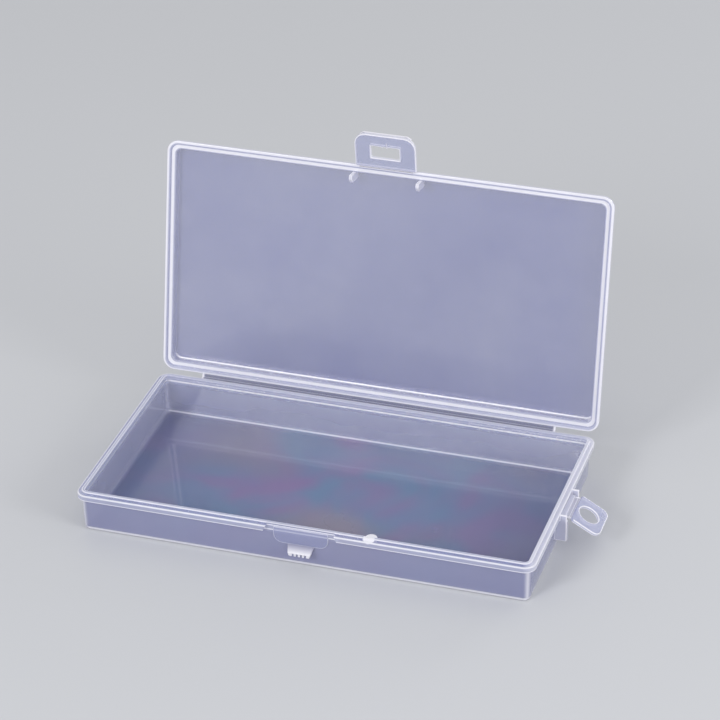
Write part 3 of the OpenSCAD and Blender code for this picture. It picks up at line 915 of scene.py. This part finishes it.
tab.piece("hanger_flap", milky, "hanger", "hang_flap")

# %% [markdown]
# Two angle brackets hold the tab off the wall. Each is a plate that stands out from the wall, and a leg
# turned in at its outer edge. The plate is drawn as x and height, and the leg as y and height, and a matrix
# stands each of them up. The rear bracket is the mirror of the front one, so one loop makes both.

# %% The brackets
BRACKET_T = 0.8 * MM
BRACKET_R, BRACKET_TOP_R, LEG_R = 0.3 * MM, 0.2 * MM, 0.1 * MM
LEG_DROP = 0.7 * MM
SINK_SHARE = 0.7
shelf_low, shelf_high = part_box("hang_shelf")
wall_x = HALF_L - FLANGE_W - WALL_LEAN * SINK_SHARE
leg_in, leg_top = shelf_high.y, shelf_low.z - LEG_DROP
for side, name, node in (
    (-1, "bracket_front", "hang_bracket_front"),
    (1, "bracket_rear", "hang_bracket_rear"),
):
    low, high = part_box(node)
    outer = high.y if side > 0 else -low.y
    bracket = Shape(Matrix(((1, 0, 0, 0), (0, 0, side, 0), (0, 1, 0, 0), (0, 0, 0, 1))))
    plate_outline = outline(
        (wall_x, low.z, 0), (high.x, low.z, BRACKET_R), (high.x, high.z, BRACKET_TOP_R),
        (HALF_L, high.z, 0), (HALF_L, SHOULDER - FLANGE_FACE, 0), (HALF_L - FLANGE_W, TRAY_TOP, 0),
    )
    plate(bracket, [plate_outline], outer - BRACKET_T, outer, edge=1.0, flat=0.5, side=1.0)
    bracket.place = Matrix(((0, 0, 1, 0), (side, 0, 0, 0), (0, 1, 0, 0), (0, 0, 0, 1)))
    leg_outer = outer - BRACKET_T / 2
    leg_outline = outline(
        (leg_in, low.z, BRACKET_TOP_R), (leg_outer, low.z, LEG_R),
        (leg_outer, leg_top, LEG_R), (leg_in, leg_top, BRACKET_TOP_R),
    )
    plate(bracket, [leg_outline], high.x - BRACKET_T, high.x, edge=1.0, flat=0.45, side=1.0)
    bracket.piece(name, milky, "base", node)

# %% [markdown]
# The shelf is the strip between the brackets, from which the tab's film starts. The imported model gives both
# of its corners, so it needs no sizes of its own but its small rounds.

# %% The shelf
shelf = Shape()
shelf_outline = outline(
    (shelf_low.x, shelf_low.y, LEG_R), (shelf_high.x, shelf_low.y, BRACKET_TOP_R),
    (shelf_high.x, shelf_high.y, BRACKET_TOP_R), (shelf_low.x, shelf_high.y, LEG_R),
)
plate(shelf, [shelf_outline], shelf_low.z, shelf_high.z, edge=0.7, flat=0.6, side=0.6)
shelf.piece("hanger_shelf", milky, "base", "hang_shelf")

# %% [markdown]
# Two blades inside the front of the lid guide it over the lip of the base when it closes. They are drawn
# shut, as all of the lid is, with a slope at the corner that meets the lip first. A wedge from a cube would
# do from afar, but close up the round white outline of a blade is most of what one sees of it.

# %% The blades in the lid
FIN_DROP, FIN_W, FIN_SLOPE = 3.9 * MM, 3.3 * MM, 1.6 * MM
FIN_R, FIN_SLOPE_R = 0.2 * MM, 0.3 * MM
near, far = LID_RIM_W - HALF_W, LID_RIM_W - HALF_W + FIN_W
tip = LID_SEAT - FIN_DROP
for name, node in (("fin_left", "lid_fin_left"), ("fin_right", "lid_fin_right")):
    low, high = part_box(node)
    fin = Shape(open_lid @ Matrix(((0, 0, 1, 0), (1, 0, 0, 0), (0, 1, 0, 0), (0, 0, 0, 1))))
    fin_outline = outline(
        (near, tip + FIN_SLOPE / 4, FIN_R), (near + FIN_SLOPE / 4, tip, FIN_R),
        (far - FIN_SLOPE, tip, FIN_R), (far, tip + FIN_SLOPE, FIN_SLOPE_R),
        (far, PANEL_LOW, 0), (near, PANEL_LOW, 0),
    )
    plate(fin, [fin_outline], low.x, high.x, edge=1.0, flat=0.65, side=0.75)
    fin.piece(name, milky, "lid", node)

# %% [markdown]
# A shallow pad on the front wall carries the catch. It hardly differs from the wall: only its thin pale
# outline shows, with two large round corners below. It is seated on the wall, so its hidden face is marked
# as a joint and leaves no trace in the see-through plastic.

# %% The pad on the front wall
pad_low, pad_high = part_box("catch_pad")
PAD_R, PAD_TOP_R, PAD_EDGE = 3.4 * MM, 0.3 * MM, 0.15 * MM
pad = Shape(Matrix(((1, 0, 0, 0), (0, 0, -1, 0), (0, 1, 0, 0), (0, 0, 0, 1))))
pad_outline = outline(
    (-pad_high.x, pad_low.z, PAD_R), (pad_high.x, pad_low.z, PAD_R),
    (pad_high.x, pad_high.z, PAD_TOP_R), (-pad_high.x, pad_high.z, PAD_TOP_R),
)
plate(pad, [pad_outline], -pad_high.y, -pad_low.y, edge=0.55, flat=0.0, side=0.4, round=PAD_EDGE, seated=True)
pad.piece("front_pad", milky, "base", "catch_pad")

# %% [markdown]
# The catch is a wedge, so that the flap rides up on it and snaps down behind its ledge. Four notches divide
# the ledge into teeth. They end inside the wedge, so no outline can give them, and they are cut out with a
# Boolean instead. Both the wedge and what cuts it are convex, so a hull round a few points makes each.

# %% The wedge and its notches
catch_low, catch_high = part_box("catch")
TOOTH_TOP = catch_low.z + 1.3 * MM
LEDGE_HALF = 3.9 * MM
TOOTH_WIDEN = 1.1
WEDGE_TOP_OUT = 1.35 * MM
CATCH_SINK = 0.2 * MM
NOTCHES, NOTCH_STEPS = 4, 8
NOTCH_PITCH, NOTCH_W, NOTCH_H, NOTCH_END = 1.56 * MM, 0.8 * MM, 1.1 * MM, 1.0 * MM
wall_y = -HALF_W + FLANGE_W + CATCH_SINK


def solid_hull(points):
    """An object that wraps the points, for use in a Boolean."""
    bm = bmesh.new()
    for point in points:
        bm.verts.new(point)
    bmesh.ops.convex_hull(bm, input=bm.verts)
    mesh = bpy.data.meshes.new("hull")
    bm.to_mesh(mesh)
    bm.free()
    made = bpy.data.objects.new("hull", mesh)
    bpy.context.scene.collection.objects.link(made)
    return made


def notch_hull(centre):
    """A cutter that is open below and has a round upper end."""
    half = NOTCH_W / 2
    ring = [(centre - half, catch_low.z - MM), (centre + half, catch_low.z - MM)]
    for step in range(NOTCH_STEPS + 1):
        turn = math.pi * step / NOTCH_STEPS
        ring.append((centre + half * math.cos(turn), catch_low.z + NOTCH_H - half + half * math.sin(turn)))
    return solid_hull([(x, y, z) for x, z in ring for y in (catch_low.y - MM, NOTCH_END - HALF_W)])


wedge_points = []
for side in (-1, 1):
    wedge_points += [
        (side * catch_high.x, wall_y, catch_high.z),
        (side * catch_high.x, -HALF_W + WEDGE_TOP_OUT, catch_high.z),
        (side * LEDGE_HALF * TOOTH_WIDEN, catch_low.y, TOOTH_TOP),
        (side * LEDGE_HALF, catch_low.y, catch_low.z),
        (side * LEDGE_HALF, wall_y, catch_low.z),
    ]
wedge = solid_hull(wedge_points)
cutters = [notch_hull((i + 1) * NOTCH_PITCH - LEDGE_HALF) for i in range(NOTCHES)]
for cutter in cutters:
    cut = wedge.modifiers.new("notch", "BOOLEAN")
    cut.operation, cut.object = "DIFFERENCE", cutter
print("a wedge of", len(wedge_points), "points and", len(cutters), "cutters")

# %% [markdown]
# A modifier only shows its result, so the cut wedge is first made into a mesh of its own. The mould has
# rounded its corners, which a bevel does well here, where none is smaller than the round. The teeth are
# the whitest part in the photograph, so the points near them are the whitest here.

# %% The toothed catch
CATCH_ROUND = 0.09 * MM
CATCH_SHARP = math.radians(25)
TOOTH_RISE, TOOTH_DEPTH = 0.3 * MM, 0.35 * MM
TOOTH_WHITE, WEDGE_WHITE = 0.95, 0.1
notched = bpy.data.meshes.new_from_object(wedge.evaluated_get(bpy.context.evaluated_depsgraph_get()))
catch = Shape()
catch.bm.from_mesh(notched)
catch.white = catch.bm.verts.layers.float.get("white") or catch.bm.verts.layers.float.new("white")
catch.joint = catch.bm.faces.layers.float.get("joint") or catch.bm.faces.layers.float.new("joint")
sharp_edges = [e for e in catch.bm.edges if len(e.link_faces) == 2 and e.calc_face_angle() > CATCH_SHARP]
bmesh.ops.bevel(catch.bm, geom=sharp_edges, offset=CATCH_ROUND, segments=2, profile=0.5, affect="EDGES")
for vert in catch.bm.verts:
    tooth = vert.co.z < TOOTH_TOP + TOOTH_RISE and vert.co.y < catch_low.y + TOOTH_DEPTH
    vert[catch.white] = TOOTH_WHITE if tooth else WEDGE_WHITE
catch.piece("toothed_catch", strained, "base", "catch")
for spare in [wedge, *cutters]:
    bpy.data.objects.remove(spare)

# %% [markdown]
# Where the molten plastic entered the mould, the front rim keeps a small white mark: half a dome inside the
# lip. It starts as a sphere, and two planes cut it, one along the inside of the wall and one level with the
# top of the lip. Each cut is closed at once, so the mark stays a solid. The scar beside it is only colour,
# the spot in the rim's finish.

# %% The moulding mark
NUB_R = (gate_high.x - gate_low.x) / 2
GATE_IN = 2.5 * MM
nub = Shape()
bmesh.ops.create_uvsphere(nub.bm, u_segments=32, v_segments=20, radius=NUB_R)
bmesh.ops.translate(nub.bm, verts=nub.bm.verts, vec=(gate_x, GATE_IN - HALF_W, SHOULDER))
for on_plane, outward in (((0, RIM_IN - HALF_W, 0), (0, -1, 0)), ((0, 0, LIP_TOP), (0, 0, 1))):
    everything = nub.bm.verts[:] + nub.bm.edges[:] + nub.bm.faces[:]
    bmesh.ops.bisect_plane(nub.bm, geom=everything, plane_co=on_plane, plane_no=outward, clear_outer=True)
    bmesh.ops.holes_fill(nub.bm, edges=nub.bm.edges, sides=0)
for vert in nub.bm.verts:
    vert[nub.white] = 1.0
nub.piece("gate_mark", strained, "base", "gate_nub")

# %% [markdown]
# The three hinges are films: thin strips that bend round a fold line. A flat strip with one crease would be
# simpler, but the real film bends softly. So each is drawn as a smooth curve that leaves one part, turns
# near the fold, and enters the next part. It is thinnest at the fold, where plastic that was bent goes pale,
# and its two ends are thicker and white.

# %% The shape of a film
FilmPlace = namedtuple("FilmPlace", "start fold end along")
FILM_STEPS = 14
FOLD_PULL = 2.2
SLOPE_STEP = 0.01
THINNED, THIN_AT, THIN_REACH = 0.45, 0.5, 0.16
CREASE_WHITE, CREASE_AT, CREASE_REACH = 0.8, 0.43, 0.06
ENTRY_WHITE, ENTRY_SHARE = 0.3, 0.10
END_WHITE = 1.6


def film_point(place, t):
    """A point of the film's middle line, from t = 0 at its start to t = 1 at its end."""
    first, pull, last = (1 - t) ** 2, 2 * FOLD_PULL * t * (1 - t), t * t
    return (first * place.start + pull * place.fold + last * place.end) / (first + pull + last)


def hump(t, middle, reach):
    """Rises smoothly to 1 at its middle."""
    return math.exp(-((t - middle) / reach) ** 2)


def film_ring(shape, place, span, near_end, thickness):
    """The points of one cut through the film, out along one face and back along the other."""
    outer, inner = [], []
    for t in (i / FILM_STEPS for i in range(FILM_STEPS + 1)):
        ahead = film_point(place, min(1, t + SLOPE_STEP)) - film_point(place, max(0, t - SLOPE_STEP))
        thin = 1 - THINNED * hump(t, THIN_AT, THIN_REACH) * (1 - near_end)
        crease = CREASE_WHITE * hump(t, CREASE_AT, CREASE_REACH)
        entry = ENTRY_WHITE * max(0.0, 1 - min(t, 1 - t) / ENTRY_SHARE)
        white = min(1.0, max(END_WHITE * near_end, crease, entry))
        at = film_point(place, t) + place.along * span
        up = place.along.cross(ahead).normalized() * thickness / 2 * thin
        outer.append(shape.point(at + up, white))
        inner.append(shape.point(at - up, white))
    return outer + inner[::-1]


print("at the fold a film keeps", round(1 - THINNED, 2), "of its thickness")

# %% [markdown]
# A film can't ride on one body, or it would tear away from the other when the hinge turns. So none is
# handed to a body here: each is left where it lies at rest. The rings stand close together at both ends,
# where the film gets thicker and whiter, and one stretch joins the two middle ones.

# %% A film between two bodies
END_RINGS = [0, 0.1 * MM, 0.4 * MM, 0.7 * MM, 1.1 * MM]


def make_film(name, place, half_width, thickness, finish, node):
    shape = Shape()
    rings = []
    for span in [end - half_width for end in END_RINGS] + [half_width - end for end in END_RINGS[::-1]]:
        near_end = max(0.0, 1 - (half_width - abs(span)) / END_RINGS[-1])
        rings.append(film_ring(shape, place, span, near_end, thickness))
    count = len(rings[0])
    hidden = [i in (FILM_STEPS, count - 1) for i in range(count)]
    shape.bands(rings, hidden, closed=False)
    shape.face(rings[0])
    shape.face(rings[-1])
    made = shape.piece(name, finish, None, node)
    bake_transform(made)
    return made


print("a film has", len(END_RINGS) * 2, "rings of", 2 * (FILM_STEPS + 1), "points")

# %% [markdown]
# Each film needs three points: where it leaves one part, where it turns, and where it enters the next. For
# the long film behind the lid, the turn is where the base's flange and the lid's flange would meet if both
# ran on, so the curve leaves each of them straight. The two small films turn about their own fold lines.

# %% The three films
LID_FILM_T = 0.5 * MM
LATCH_FILM_T = 0.4 * MM
FOLD_DROP = 0.4 * MM
turn_lid = open_lid.to_3x3()
along_y = Vector((0, 1, 0))
from_base = Vector((0, HALF_W, SHOULDER - LID_FILM_T / 2))
from_lid = open_lid @ Vector((0, HALF_W, SHOULDER + LID_FILM_T / 2))
lid_way = turn_lid @ along_y
fold = geometry.intersect_line_line(from_base, from_base + along_y, from_lid, from_lid + lid_way)[0]
lid_film_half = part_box("lid_hinge")[1].x
lid_place = FilmPlace(from_base, fold, from_lid, Vector((1, 0, 0)))
make_film("lid_film", lid_place, lid_film_half, LID_FILM_T, film, "lid_hinge")

flap_dir = latch_place.to_3x3() @ along_y
seat_point = latch_axis + turn_lid @ Vector((0, 0, LID_SEAT - (SHOULDER - FOLD_DROP)))
flap_film = FilmPlace(seat_point, latch_axis, latch_axis + flap_dir * FLAP_ROOT, Vector((1, 0, 0)))
flap_film_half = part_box("latch_hinge")[1].x
make_film("latch_film", flap_film, flap_film_half, LATCH_FILM_T, brown_film, "latch_hinge")

tab_dir = Matrix.Rotation(TAB_DROOP, 3, "Y") @ Vector((1, 0, 0))
shelf_point = Vector((shelf_high.x, 0, tab_axis.z))
tab_film = FilmPlace(shelf_point, tab_axis, tab_axis + tab_dir * TAB_ROOT, along_y)
make_film("hanger_film", tab_film, shelf_high.y, TAB_FILM_T, milky_film, "hang_hinge")
